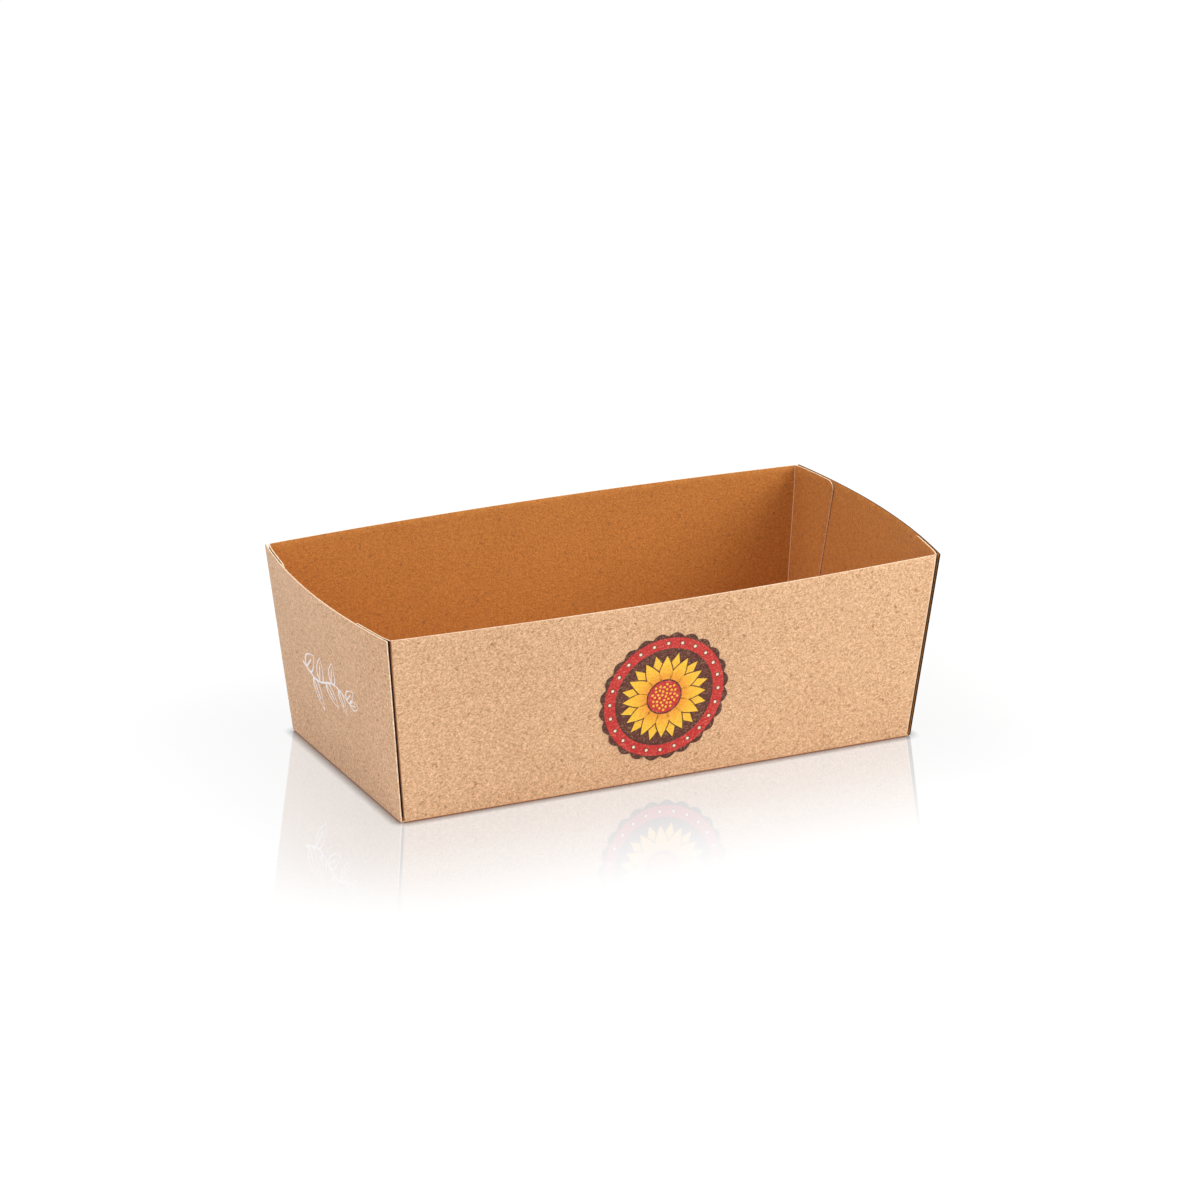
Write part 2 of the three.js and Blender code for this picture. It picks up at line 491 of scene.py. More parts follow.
def noiseAt(tree, place, scale, detail=2.0, roughness=0.5, distortion=0.0, seed=0.0, flat=True):
    node = put(tree, "ShaderNodeTexNoise", noise_dimensions="2D" if flat else "3D")
    shifted = vectorCalc(tree, "ADD", place, tuple(seed * step for step in seedStep))
    values = {
        "Vector": shifted, "Scale": scale, "Detail": detail,
        "Roughness": roughness, "Distortion": distortion,
    }
    for name, value in values.items():
        feed(tree, node.inputs[name], value)
    return node.outputs[0]


fibrePattern = {
    "swirlScale": 300.0,
    "swirl": 0.0125,
    "strokes": ((12, 1.0), (74, 5.0), (133, 9.0)),  # angle and seed of each layer
    "strokeScale": 1.6,
    "strokeNarrowing": 0.42,
    "patchScale": 0.6,
    "patchSteps": ((0.44, 0.54), (0.54, 0.64)),
    "fibreRange": (0.3, 0.7),
    "cloudScale": 32.0,
    "flecks": ((1.0, 0.085, 0.22, 0.6), (1.35, 0.075, 0.25, 2.1)),  # spacing, size, share of cells, turn
    "orangeFlecks": (0.8, 0.1, 0.2, 1.3),
    "fleckNarrowing": 0.55,
    "fleckCore": 0.4,
}


def grainGroup():  # patterns of pressed fibres, from a place on the flat blank in metres
    inputs = {"Place": "Vector", "Fibre Length": "Float", "Fleck Spacing": "Float"}
    outputs = {name: "Float" for name in ("Cloud", "Fibres", "Flecks", "Orange Flecks", "Height")}
    tree, given, result = newGroup("pressedFibres", "ShaderNodeTree", inputs, outputs)
    pattern = fibrePattern
    bend = noiseAt(tree, given["Place"], pattern["swirlScale"])
    swirled = turned(tree, given["Place"], calc(tree, "MULTIPLY", bend, pattern["swirl"]))

    def perFibre(scale):
        return calc(tree, "DIVIDE", scale, given["Fibre Length"])

    def narrowed(place, share):
        return vectorCalc(tree, "MULTIPLY", place, (share, 1.0, 1.0))

    def strokes(angle, seed):  # ridges of short fibres that lie roughly one way
        lying = narrowed(turned(tree, swirled, math.radians(angle)), pattern["strokeNarrowing"])
        scale = perFibre(pattern["strokeScale"])
        return noiseAt(tree, lying, scale, detail=2.5, roughness=0.62, distortion=0.9, seed=seed)

    fibres, *layers = [strokes(angle, seed) for angle, seed in pattern["strokes"]]
    patches = noiseAt(tree, given["Place"], perFibre(pattern["patchScale"]), detail=1.0, seed=3.0)
    for layer, limits in zip(layers, pattern["patchSteps"]):
        fibres = between(tree, fibres, layer, spread(tree, patches, *limits))

    def flecksOf(stretch, size, share, turn):  # small short specks, in a share of the cells
        cells = put(tree, "ShaderNodeTexVoronoi", voronoi_dimensions="2D")
        spun = turned(tree, given["Place"], turn)
        spacing = calc(tree, "MULTIPLY", given["Fleck Spacing"], stretch)
        feed(tree, cells.inputs["Vector"], narrowed(spun, pattern["fleckNarrowing"]))
        feed(tree, cells.inputs["Scale"], calc(tree, "DIVIDE", 1.0, spacing))
        far = spread(tree, cells.outputs["Distance"], size * pattern["fleckCore"], size)
        chosen = calc(tree, "GREATER_THAN", axes(tree, cells.outputs["Color"])[0], 1.0 - share)
        return calc(tree, "MULTIPLY", calc(tree, "SUBTRACT", 1.0, far), chosen)

    cloud = noiseAt(tree, given["Place"], pattern["cloudScale"],
                    detail=3.0, roughness=0.55, distortion=0.4, seed=4.1)
    made = {
        "Cloud": cloud,
        "Fibres": spread(tree, fibres, *pattern["fibreRange"]),
        "Flecks": calc(tree, "MAXIMUM", *[flecksOf(*layer) for layer in pattern["flecks"]]),
        "Orange Flecks": flecksOf(*pattern["orangeFlecks"]),
        "Height": fibres,
    }
    for name, value in made.items():
        feed(tree, result[name], value)
    return tree


pressedFibres = grainGroup()

boardFinish = {
    "fibreLength": 0.00078,
    "fleckSpacing": 0.0052,
    "outerPale": linear(244, 202, 160),
    "outerDark": linear(172, 125, 82),
    # the inside's own warmer kraft, deepened further by painted shade and painted orange bounce light
    "innerPale": linear(210, 140, 64),
    "innerDark": linear(170, 102, 42),
    "fibreShare": 0.82,  # the rest of the tone is cloud
    "fleck": linear(139, 94, 55),
    "fleckShare": 0.55,
    "orangeFleck": linear(214, 134, 72),
    "orangeFleckShare": 0.3,
    "footCrease": linear(238, 146, 66),
    "innerCrease": linear(226, 152, 84),
    "creaseTintRange": (0.35, 0.9),
    # painted highlight on the upright fold at the right, painted shade (shadedFold) on the fold at the left,
    # as the light falls from the right
    "fold": linear(255, 232, 202),
    "shadedFold": linear(168, 96, 44),
    "foldLightShare": 0.75,
    # painted shade: dark brown laid into the groove beside each upright fold, near black on the right,
    # standing in for the groove's shadow
    "groove": linear(50, 14, 4),
    "rightGrooveShade": linear(12, 5, 3),
    "roughness": 0.8,
    "specular": 0.3,
    "sheen": 0.12,
    "sheenRoughness": 0.4,
    "bump": 0.00013,
}
edgeFinish = {
    "pale": linear(255, 236, 208),
    "paleShade": linear(214, 170, 126),
    # painted shadow: the right end wall's cut edge is coloured near black, though its light would leave it
    # lit
    "dark": linear(9, 4, 2),
    "shadowedPly": linear(24, 11, 6),
    "plyScale": 3000.0,
    "plyRange": (0.35, 0.65),
    "roughness": 0.95,
    "specular": 0.1,
    "bump": 0.00004,
}


def mixColour(tree, share, first, second, blend="MIX"):
    node = put(tree, "ShaderNodeMix", data_type="RGBA", blend_type=blend)
    feed(tree, node.inputs[0], share)
    feed(tree, node.inputs[6], first)
    feed(tree, node.inputs[7], second)
    return node.outputs[2]


def newMaterial(name, roughness, specular):
    material = bpy.data.materials.new(name)
    material.use_nodes = True
    tree = material.node_tree
    shader = tree.nodes["Principled BSDF"]
    shader.inputs["Roughness"].default_value = roughness
    shader.inputs["Specular IOR Level"].default_value = specular
    return material, tree, shader


def bump(tree, shader, height, distance):
    node = put(tree, "ShaderNodeBump")
    node.inputs["Strength"].default_value = 1.0
    node.inputs["Distance"].default_value = distance
    feed(tree, node.inputs["Height"], height)
    feed(tree, shader.inputs["Normal"], node.outputs[0])


def surfaceAttribute(tree, name):
    return put(tree, "ShaderNodeAttribute", attribute_name=name)


def grainOn(tree):
    place = surfaceAttribute(tree, "blank").outputs["Vector"]
    return useGroup(tree, pressedFibres, **{
        "Place": place,
        "Fibre Length": boardFinish["fibreLength"],
        "Fleck Spacing": boardFinish["fleckSpacing"],
    })


def part(tree, value, amount):
    return calc(tree, "MULTIPLY", value, amount)


def rightHalf(tree):  # 1 on the half that ends in the right end wall
    place = put(tree, "ShaderNodeTexCoord").outputs["Object"]
    return spread(tree, axes(tree, place)[0], 0.0, 0.001)


def boardMaterial(name, pale, dark, creaseColour, grooveShadeShare):
    material, tree, shader = newMaterial(name, boardFinish["roughness"], boardFinish["specular"])
    shader.inputs["Sheen Weight"].default_value = boardFinish["sheen"]
    shader.inputs["Sheen Roughness"].default_value = boardFinish["sheenRoughness"]
    grain = grainOn(tree)
    fibres = part(tree, grain["Fibres"], boardFinish["fibreShare"])
    cloud = part(tree, grain["Cloud"], 1 - boardFinish["fibreShare"])
    colour = mixColour(tree, calc(tree, "ADD", fibres, cloud), dark, pale)
    orangeFlecks = part(tree, grain["Orange Flecks"], boardFinish["orangeFleckShare"])
    colour = mixColour(tree, orangeFlecks, colour, boardFinish["orangeFleck"])
    flecks = part(tree, grain["Flecks"], boardFinish["fleckShare"])
    colour = mixColour(tree, flecks, colour, boardFinish["fleck"])
    # along the middle of each foot crease the colour moves to the crease colour, patchily with the fibres
    wear = between(tree, *boardFinish["creaseTintRange"], grain["Fibres"])
    maskedShare = calc(tree, "MULTIPLY", surfaceAttribute(tree, "crease").outputs["Fac"], wear)
    colour = mixColour(tree, maskedShare, colour, creaseColour)
    toRight = rightHalf(tree)
    # painted highlight on the right upright fold, painted shade on the left one
    foldLight = part(tree, surfaceAttribute(tree, "fold").outputs["Fac"], boardFinish["foldLightShare"])
    foldLightAndShade = mixColour(tree, toRight, boardFinish["shadedFold"], boardFinish["fold"])
    colour = mixColour(tree, foldLight, colour, foldLightAndShade)
    # painted shade in the groove beside the upright folds, on the outer face only
    groove = part(tree, surfaceAttribute(tree, "groove").outputs["Fac"], grooveShadeShare)
    grooveShadeColour = mixColour(tree, toRight, boardFinish["groove"], boardFinish["rightGrooveShade"])
    colour = mixColour(tree, groove, colour, grooveShadeColour)
    feed(tree, shader.inputs["Base Color"], colour)
    bump(tree, shader, grain["Height"], boardFinish["bump"])
    return material


# The right end wall's cut edge takes a painted shadow in near-black colour.
def edgeMaterial(name):  # the raw cut through the board, darker along the right end wall
    material, tree, shader = newMaterial(name, edgeFinish["roughness"], edgeFinish["specular"])
    place = put(tree, "ShaderNodeTexCoord").outputs["Object"]
    plies = noiseAt(tree, place, edgeFinish["plyScale"], flat=False)
    shade = spread(tree, plies, *edgeFinish["plyRange"])
    pale = mixColour(tree, shade, edgeFinish["paleShade"], edgeFinish["pale"])
    dark = mixColour(tree, shade, edgeFinish["dark"], edgeFinish["shadowedPly"])
    # painted shadow on the right end wall's cut edge, away from the groove
    outerLayer = spread(tree, surfaceAttribute(tree, "end").outputs["Fac"], 0.6, 0.9)
    inGroove = surfaceAttribute(tree, "groove").outputs["Fac"]
    shadowedCut = calc(tree, "MULTIPLY", outerLayer, calc(tree, "SUBTRACT", 1.0, inGroove))
    colour = mixColour(tree, calc(tree, "MULTIPLY", rightHalf(tree), shadowedCut), pale, dark)
    feed(tree, shader.inputs["Base Color"], colour)
    bump(tree, shader, plies, edgeFinish["bump"])
    return material


outerBoard = boardMaterial("outerBoard", boardFinish["outerPale"], boardFinish["outerDark"],
                           boardFinish["footCrease"], 1.0)
innerBoard = boardMaterial("innerBoard", boardFinish["innerPale"], boardFinish["innerDark"],
                           boardFinish["innerCrease"], 0.0)
rawEdge = edgeMaterial("rawEdge")


sheetFinish = {"edgeWidth": 0.00005, "edgeSegments": 2, "edgeAngle": 50, "sharpAngle": 40}


def smoothed(piece):
    piece.data.shade_smooth()
    piece.data.set_sharp_from_angle(angle=math.radians(sheetFinish["sharpAngle"]))


def buildSheet():
    sheet = runTree("foldedSheet", skinMesh("foldedSheet"), bowedSheetTree(), {
        "Side Bow": traySizes["sideBow"], "End Bow": traySizes["endBow"], **wallRule, "Material": outerBoard,
    })
    sheet.data.materials.append(innerBoard)
    sheet.data.materials.append(rawEdge)
    wall = sheet.modifiers.new("board", "SOLIDIFY")
    wall.thickness = board
    wall.offset = -1
    wall.use_even_offset = True
    wall.use_quality_normals = True
    wall.material_offset = 1
    wall.material_offset_rim = 2
    edge = sheet.modifiers.new("edge", "BEVEL")
    edge.width = sheetFinish["edgeWidth"]
    edge.segments = sheetFinish["edgeSegments"]
    edge.limit_method = "ANGLE"
    edge.angle_limit = math.radians(sheetFinish["edgeAngle"])
    edge.harden_normals = True
    plain(sheet)
    smoothed(sheet)
    return sheet


sheet = buildSheet()
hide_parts("tray")
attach(sheet, "root")
print("sheet built:", len(sheet.data.polygons), "faces")


# Print: flat shapes drawn in metres, laid on a wall by the same rule that bends the wall

weldGap = 0.000004
layerLift = 0.00001
petalShape = {"belly": 0.72, "footInset": 1.3, "tipInset": 2.2, "columns": 16, "rows": 4}


def patch(tree, columns, rows, place):  # a grid whose corners go where place says, from two shares
    grid = put(tree, "GeometryNodeMeshGrid")
    sizes = {"Size X": 1.0, "Size Y": 1.0, "Vertices X": columns + 1, "Vertices Y": rows + 1}
    for name, value in sizes.items():
        feed(tree, grid.inputs[name], value)
    u, v, _ = axes(tree, grid.outputs["UV Map"])
    shaped = moved(tree, grid.outputs["Mesh"], position=place(u, v))
    weld = put(tree, "GeometryNodeMergeByDistance")
    feed(tree, weld.inputs["Geometry"], shaped)
    feed(tree, weld.inputs["Distance"], weldGap)
    return weld.outputs[0]


def polar(tree, radius, angle, lift):
    x = calc(tree, "MULTIPLY", radius, calc(tree, "COSINE", angle))
    return vector(tree, x, calc(tree, "MULTIPLY", radius, calc(tree, "SINE", angle)), lift)


def fullTurn(tree, share):
    return calc(tree, "MULTIPLY", share, 2 * math.pi)


def ringPatch(tree, inner, outer, lift, steps, rows, wave=0.0, waves=0):  # a disc where inner is 0
    def place(u, v):
        angle = fullTurn(tree, u)
        ripple = calc(tree, "ABSOLUTE", calc(tree, "SINE", calc(tree, "MULTIPLY", angle, waves / 2)))
        edge = calc(tree, "ADD", outer, calc(tree, "MULTIPLY", ripple, wave))
        return polar(tree, between(tree, inner, edge, v), angle, lift)
    return patch(tree, steps, rows, place)


def petalPatch(tree, foot, length, width, lift, inset=0.0):  # a pointed leaf shape along Y
    def place(u, v):
        start = foot + inset * petalShape["footInset"]
        end = foot + length - inset * petalShape["tipInset"]
        bent = calc(tree, "POWER", u, petalShape["belly"])
        swell = calc(tree, "SINE", calc(tree, "MULTIPLY", bent, math.pi))
        half = calc(tree, "MULTIPLY", swell, width / 2 - inset)
        across = calc(tree, "MULTIPLY_ADD", v, 2.0, -1.0)
        return vector(tree, calc(tree, "MULTIPLY", across, half), between(tree, start, end, u), lift)
    return patch(tree, petalShape["columns"], petalShape["rows"], place)


def inked(tree, geometry, colour):
    return store(tree, geometry, "ink", colour, "FLOAT_COLOR")


def joined(tree, parts):
    node = put(tree, "GeometryNodeJoinGeometry")
    for geometry in reversed(parts):
        tree.links.new(geometry, node.inputs[0])
    return node.outputs[0]


# Copies of a piece, at places worked out from their number
def scattered(tree, piece, count, position, turn, size=(1, 1, 1)):
    points = put(tree, "GeometryNodePoints")
    feed(tree, points.inputs["Count"], count)
    feed(tree, points.inputs["Position"], position)
    copies = put(tree, "GeometryNodeInstanceOnPoints")
    feed(tree, copies.inputs["Points"], points.outputs[0])
    feed(tree, copies.inputs["Instance"], piece)
    feed(tree, copies.inputs["Rotation"], vector(tree, 0.0, 0.0, turn))
    feed(tree, copies.inputs["Scale"], size)
    realized = put(tree, "GeometryNodeRealizeInstances")
    feed(tree, realized.inputs[0], copies.outputs[0])
    return realized.outputs[0]


def number(tree):
    return put(tree, "GeometryNodeInputIndex").outputs[0]


def around(tree, piece, count, start):
    turn = calc(tree, "MULTIPLY_ADD", number(tree), 2 * math.pi / count, start)
    return scattered(tree, piece, count, (0, 0, 0), turn)


wallPlace = {
    "Centre X": "Float", "Centre Z": "Float", "Turn": "Float", "Bow": "Float", "Base Half": "Float",
    "Rim Half": "Float", "Base Across": "Float", "Rim Across": "Float", "Blank Foot": "Float",
}


# Bends flat shapes over a wall, and gives them the place on the blank below them
def laidOnWall(tree, given, flat):
    x, y, lift = axes(tree, put(tree, "GeometryNodeInputPosition").outputs[0])
    across = calc(tree, "ADD", x, given["Centre X"])
    height = calc(tree, "ADD", y, given["Centre Z"])
    level = calc(tree, "DIVIDE", height, given["Tray Height"])
    half = between(tree, given["Base Half"], given["Rim Half"], level)
    wider = calc(tree, "SUBTRACT", given["Rim Half"], given["Base Half"])
    lean = calc(tree, "DIVIDE", wider, given["Tray Height"])
    stretch = calc(tree, "SQRT", calc(tree, "MULTIPLY_ADD", lean, lean, 1.0))
    straight = turned(tree, vector(tree, across, calc(tree, "MULTIPLY", half, -1.0), height), given["Turn"])
    toSide = calc(tree, "DIVIDE", across, between(tree, given["Base Across"], given["Rim Across"], level))
    share = calc(tree, "SUBTRACT", 1.0, calc(tree, "MULTIPLY", toSide, toSide))
    reach = calc(tree, "ADD", reachOf(tree, given, straight, share, given["Bow"]), lift)
    outward = turned(tree, vectorCalc(tree, "SCALE", (0, -1, 0), reach), given["Turn"])
    fromFoot = calc(tree, "MULTIPLY_ADD", height, stretch, given["Blank Foot"])
    blank = turned(tree, vector(tree, across, calc(tree, "MULTIPLY", fromFoot, -1.0), 0.0), given["Turn"])
    marked = store(tree, flat, "blank", blank, "FLOAT_VECTOR")
    return moved(tree, marked, position=vectorCalc(tree, "ADD", straight, outward))


emblem = {
    "Radius": 0.0205,
    "Scallop Circle": 0.985,  # this and the sizes below are shares of the radius
    "Scallop Depth": 0.06,
    "Ring": (0.79, 0.965),
    "Disc": 0.755,
    "Pearl Circle": 0.8775,
    "Pearl Edge": 0.036,
    "Pearl": 0.024,
    "Back Petal": (0.2, 0.55, 0.24),  # foot, length and width
    "Front Petal": (0.16, 0.55, 0.25),
    "Petal Line": 0.017,
    "Heart Edge": 0.285,
    "Heart": 0.262,
    "Seed": 0.019,
    "Seed Spread": 0.036,
    "Seed Turn": 137.508,
    "Seeds": 38,
    "Petals": 12,
    "Gold From": 0.75,  # share of a petal's length
    "Outline Ink": linear(72, 30, 20),
    "Ring Ink": linear(196, 34, 36),
    "Disc Ink": linear(86, 34, 22),
    "Gold Ink": linear(250, 196, 48),
    "Orange Ink": linear(236, 134, 30),
    "Pale Ink": linear(244, 226, 196),
}


def emblemTree():  # a sunflower in a scalloped ring
    colours = {name: "Color" for name in emblem if name.endswith("Ink")}
    inputs = {**wallPlace, **ruleSockets, **colours, "Material": "Material"}
    tree, given, result = newGroup("sunflowerEmblem", "GeometryNodeTree", inputs, {"Geometry": "Geometry"})
    size = emblem["Radius"]
    petals = emblem["Petals"]
    half = math.pi / petals

    def layer(index):
        return layerLift * (index + 1)

    def ring(ink, inner, outer, index, steps, rows, *wave):
        shape = ringPatch(tree, inner * size, outer * size, layer(index), steps, rows, *wave)
        return inked(tree, shape, given[ink])

    def shaded(geometry, low, high):  # gold at the tip, orange at the foot of a petal
        x, y, _ = axes(tree, put(tree, "GeometryNodeInputPosition").outputs[0])
        distance = calc(tree, "SQRT", calc(tree, "MULTIPLY_ADD", x, x, calc(tree, "MULTIPLY", y, y)))
        share = spread(tree, distance, low, high)
        return inked(tree, geometry, mixColour(tree, share, given["Orange Ink"], given["Gold Ink"]))

    def petalRow(shape, index, start):
        foot, length, width = [share * size for share in shape]
        edge = inked(tree, petalPatch(tree, foot, length, width, layer(index)), given["Outline Ink"])
        fill = petalPatch(tree, foot, length, width, layer(index + 1), emblem["Petal Line"] * size)
        fill = shaded(fill, foot, foot + length * emblem["Gold From"])
        return around(tree, joined(tree, [edge, fill]), petals, start)

    pearl = joined(tree, [
        ring("Outline Ink", 0.0, emblem["Pearl Edge"], 3, 16, 2),
        ring("Pale Ink", 0.0, emblem["Pearl"], 4, 16, 2),
    ])
    pearlTurn = calc(tree, "MULTIPLY", number(tree), half)
    pearlPlace = polar(tree, emblem["Pearl Circle"] * size, pearlTurn, 0.0)
    seed = ring("Gold Ink", 0.0, emblem["Seed"], 10, 12, 1)
    seedTurn = calc(tree, "MULTIPLY", number(tree), math.radians(emblem["Seed Turn"]))
    seedRoot = calc(tree, "SQRT", calc(tree, "ADD", number(tree), 0.5))
    seedPlace = polar(tree, calc(tree, "MULTIPLY", seedRoot, emblem["Seed Spread"] * size), seedTurn, 0.0)
    scallops = (emblem["Scallop Depth"] * size, 2 * petals)
    flat = joined(tree, [
        ring("Outline Ink", 0.0, emblem["Scallop Circle"], 0, 144, 8, *scallops),
        ring("Ring Ink", *emblem["Ring"], 1, 96, 3),
        ring("Disc Ink", 0.0, emblem["Disc"], 1, 96, 8),
        scattered(tree, pearl, 2 * petals, pearlPlace, pearlTurn),
        petalRow(emblem["Back Petal"], 3, half),
        petalRow(emblem["Front Petal"], 5, 0.0),
        ring("Outline Ink", 0.0, emblem["Heart Edge"], 7, 48, 3),
        ring("Ring Ink", 0.0, emblem["Heart"], 8, 48, 3),
        scattered(tree, seed, emblem["Seeds"], seedPlace, seedTurn),
    ])
    finished(tree, laidOnWall(tree, given, flat), given["Material"], result)
    return tree


sprig = {
    "Length": 0.037,
    "Rise": 0.0018,  # how far the stem waves up and down
    "Waves": 1.15,
    "Leaves": 7,
    "First Leaf": 0.55,  # steps from leaf to leaf, before the first
    "Leaf Length": 0.0105,
    "Leaf Width": 0.00725,  # before the drop narrows to its tip
    "Leaf Taper": 0.55,
    "Leaf Lean": 56,
    "Leaf Sizes": (1.12, 0.72),  # from the first to the last
    "Tip Turn": -78,
    "Tip Size": 0.62,
    "Stroke": 0.0007,
    "Stem Strokes": (1.25, 0.55),  # from the foot to the tip
    "Vein Stroke": 0.75,
    "Vein Start": -0.0002,
    "Vein Share": 0.66,
    "White Ink": linear(252, 247, 242),
}


def sprigTree():  # a waving stem with outlined leaves, drawn with a thin line
    inputs = {**wallPlace, **ruleSockets, "White Ink": "Color", "Material": "Material"}
    tree, given, result = newGroup("leafSprig", "GeometryNodeTree", inputs, {"Geometry": "Geometry"})
    length, rise, stroke = sprig["Length"], sprig["Rise"], sprig["Stroke"]
    waves = 2 * math.pi * sprig["Waves"] / length
    low, high = 2 * layerLift, 3 * layerLift

    def stemAt(share):  # place and slope of the stem at a share of its length
        x = between(tree, -length / 2, length / 2, share)
        phase = calc(tree, "MULTIPLY", x, waves)
        slope = calc(tree, "MULTIPLY", calc(tree, "COSINE", phase), rise * waves)
        return x, calc(tree, "MULTIPLY", calc(tree, "SINE", phase), rise), slope

    def stemPlace(u, v):
        x, y, slope = stemAt(u)
        angle = calc(tree, "ARCTANGENT", slope)
        taper = calc(tree, "MULTIPLY", between(tree, *sprig["Stem Strokes"], u), stroke)
        side = calc(tree, "MULTIPLY", calc(tree, "SUBTRACT", v, 0.5), taper)
        x = calc(tree, "SUBTRACT", x, calc(tree, "MULTIPLY", side, calc(tree, "SINE", angle)))
        return vector(tree, x, calc(tree, "MULTIPLY_ADD", side, calc(tree, "COSINE", angle), y), low)

    def outlinePlace(u, v):  # a closed drop with its tip at the far end of Y
        angle = fullTurn(tree, u)
        inset = calc(tree, "MULTIPLY", v, stroke)
        middle = sprig["Leaf Length"] / 2
        reach = calc(tree, "SUBTRACT", middle, inset)
        y = calc(tree, "SUBTRACT", middle, calc(tree, "MULTIPLY", reach, calc(tree, "COSINE", angle)))
        toTip = calc(tree, "DIVIDE", calc(tree, "SUBTRACT", 2 * middle, y), 2 * middle)
        narrow = calc(tree, "POWER", toTip, sprig["Leaf Taper"])
        wide = calc(tree, "SUBTRACT", sprig["Leaf Width"] / 2, inset)
        x = calc(tree, "MULTIPLY", calc(tree, "MULTIPLY", calc(tree, "SINE", angle), wide), narrow)
        return vector(tree, x, y, high)

    def veinPlace(u, v):
        side = calc(tree, "MULTIPLY", calc(tree, "SUBTRACT", v, 0.5), stroke * sprig["Vein Stroke"])
        end = sprig["Leaf Length"] * sprig["Vein Share"]
        return vector(tree, side, between(tree, sprig["Vein Start"], end, u), low)

    leaf = joined(tree, [patch(tree, 36, 1, outlinePlace), patch(tree, 6, 1, veinPlace)])
    count = sprig["Leaves"]
    share = calc(tree, "DIVIDE", calc(tree, "ADD", number(tree), sprig["First Leaf"]), count)
    x, y, slope = stemAt(share)
    side = calc(tree, "MULTIPLY_ADD", calc(tree, "MODULO", number(tree), 2.0), -2.0, 1.0)
    lean = calc(tree, "MULTIPLY", side, math.radians(sprig["Leaf Lean"]))
    turn = calc(tree, "ADD", calc(tree, "ADD", calc(tree, "ARCTANGENT", slope), -math.pi / 2), lean)
    sizes = between(tree, *sprig["Leaf Sizes"], share)
    leaves = scattered(tree, leaf, count, vector(tree, x, y, 0.0), turn, sizes)
    tipPlace = vector(tree, *stemAt(1.0)[:2], 0.0)
    tip = scattered(tree, leaf, 1, tipPlace, math.radians(sprig["Tip Turn"]), (sprig["Tip Size"],) * 3)
    flat = inked(tree, joined(tree, [patch(tree, 64, 1, stemPlace), leaves, tip]), given["White Ink"])
    finished(tree, laidOnWall(tree, given, flat), given["Material"], result)
    return tree


inkFinish = {
    "film": 0.00012,
    "roughness": 0.62,
    "specular": 0.35,
    "wearFrom": 0.55,
    "wear": 0.16,
    "leastWear": 0.02,
    "shades": (0.84, 1.06),
}


def inkMaterial(name):  # thin ink, which lets the fibres of the board show
    material, tree, shader = newMaterial(name, inkFinish["roughness"], inkFinish["specular"])
    grain = grainOn(tree)
    ink = surfaceAttribute(tree, "ink").outputs["Color"]
    bare = mixColour(tree, grain["Fibres"], boardFinish["outerDark"], boardFinish["outerPale"])
    thin = spread(tree, grain["Fibres"], inkFinish["wearFrom"], 1.0)
    showing = calc(tree, "MULTIPLY_ADD", thin, inkFinish["wear"], inkFinish["leastWear"])
    colour = mixColour(tree, showing, ink, bare)
    shade = between(tree, *inkFinish["shades"], grain["Fibres"])
    colour = mixColour(tree, 1.0, colour, vector(tree, shade, shade, shade), "MULTIPLY")
    feed(tree, shader.inputs["Base Color"], colour)
    bump(tree, shader, grain["Height"], boardFinish["bump"])
    return material


boardInk = inkMaterial("boardInk")


def printOn(name, tree, wall, inks):
    values = {**wall, **wallRule, **{key: value for key, value in inks.items() if key.endswith("Ink")}}
    piece = runTree(name, bpy.data.meshes.new(name), tree, {**values, "Material": boardInk})
    film = piece.modifiers.new("film", "SOLIDIFY")  # the ink soaks a little way into the board
    film.thickness = inkFinish["film"]
    film.offset = -1
    plain(piece)
    smoothed(piece)
    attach(piece, "root")


frontWall = {
    "Centre X": -0.0009, "Centre Z": 0.028, "Turn": 0.0, "Bow": traySizes["sideBow"],
    "Base Half": halfWidthAt(0), "Rim Half": halfWidthAt(trayHeight),
    "Base Across": wallEndAt(0), "Rim Across": wallEndAt(trayHeight), "Blank Foot": sideCrease.blankFoot,
}
leftWall = {
    "Centre X": -0.0037, "Centre Z": 0.0295, "Turn": -math.pi / 2, "Bow": traySizes["endBow"],
    "Base Half": halfLengthAt(0), "Rim Half": halfLengthAt(trayHeight),
    "Base Across": halfWidthAt(0), "Rim Across": halfWidthAt(trayHeight), "Blank Foot": endCrease.blankFoot,
}
printOn("frontEmblem", emblemTree(), frontWall, emblem)
printOn("leftSprig", sprigTree(), leftWall, sprig)
print("print laid on the walls")


# Studio

studio = {
    "worldFill": 0.55,
    "fillColour": (0.97, 0.985, 1, 1),
    "lampAim": (0, 0, 0.03),
    "floorSize": 8.0,
    "floorDrop": 0.00005,
    "bounceShade": 0.82,
    "bounceRoughness": 0.6,
    "floorShade": 0.06,
    "floorGlow": 0.975,
    "floorPolish": 0.37,
    "floorRoughness": 0.03,
    "polishStart": 0.003,
    "polishReach": 0.09,
    "contactReach": 0.0035,
    "contactPower": 2.0,
}
lamps = {
    "keyLamp": {"place": (0.85, -0.57, 0.6), "size": 0.7, "power": 10.0, "colour": (1, 0.98, 0.97)},
    "topLamp": {"place": (-0.2, 0.2, 1.8), "size": 1.6, "power": 16.0, "colour": (1, 1, 1)},
    "leftLamp": {"place": (-1.5, -0.5, 0.9), "size": 1.2, "power": 9.0, "colour": (0.75, 0.775, 1)},
}


def underLightPath(tree, names):  # 1 for the kinds of ray named
    path = put(tree, "ShaderNodeLightPath")
    share = path.outputs[names[0]]
    for name in names[1:]:
        share = calc(tree, "MAXIMUM", share, path.outputs[name])
    return share


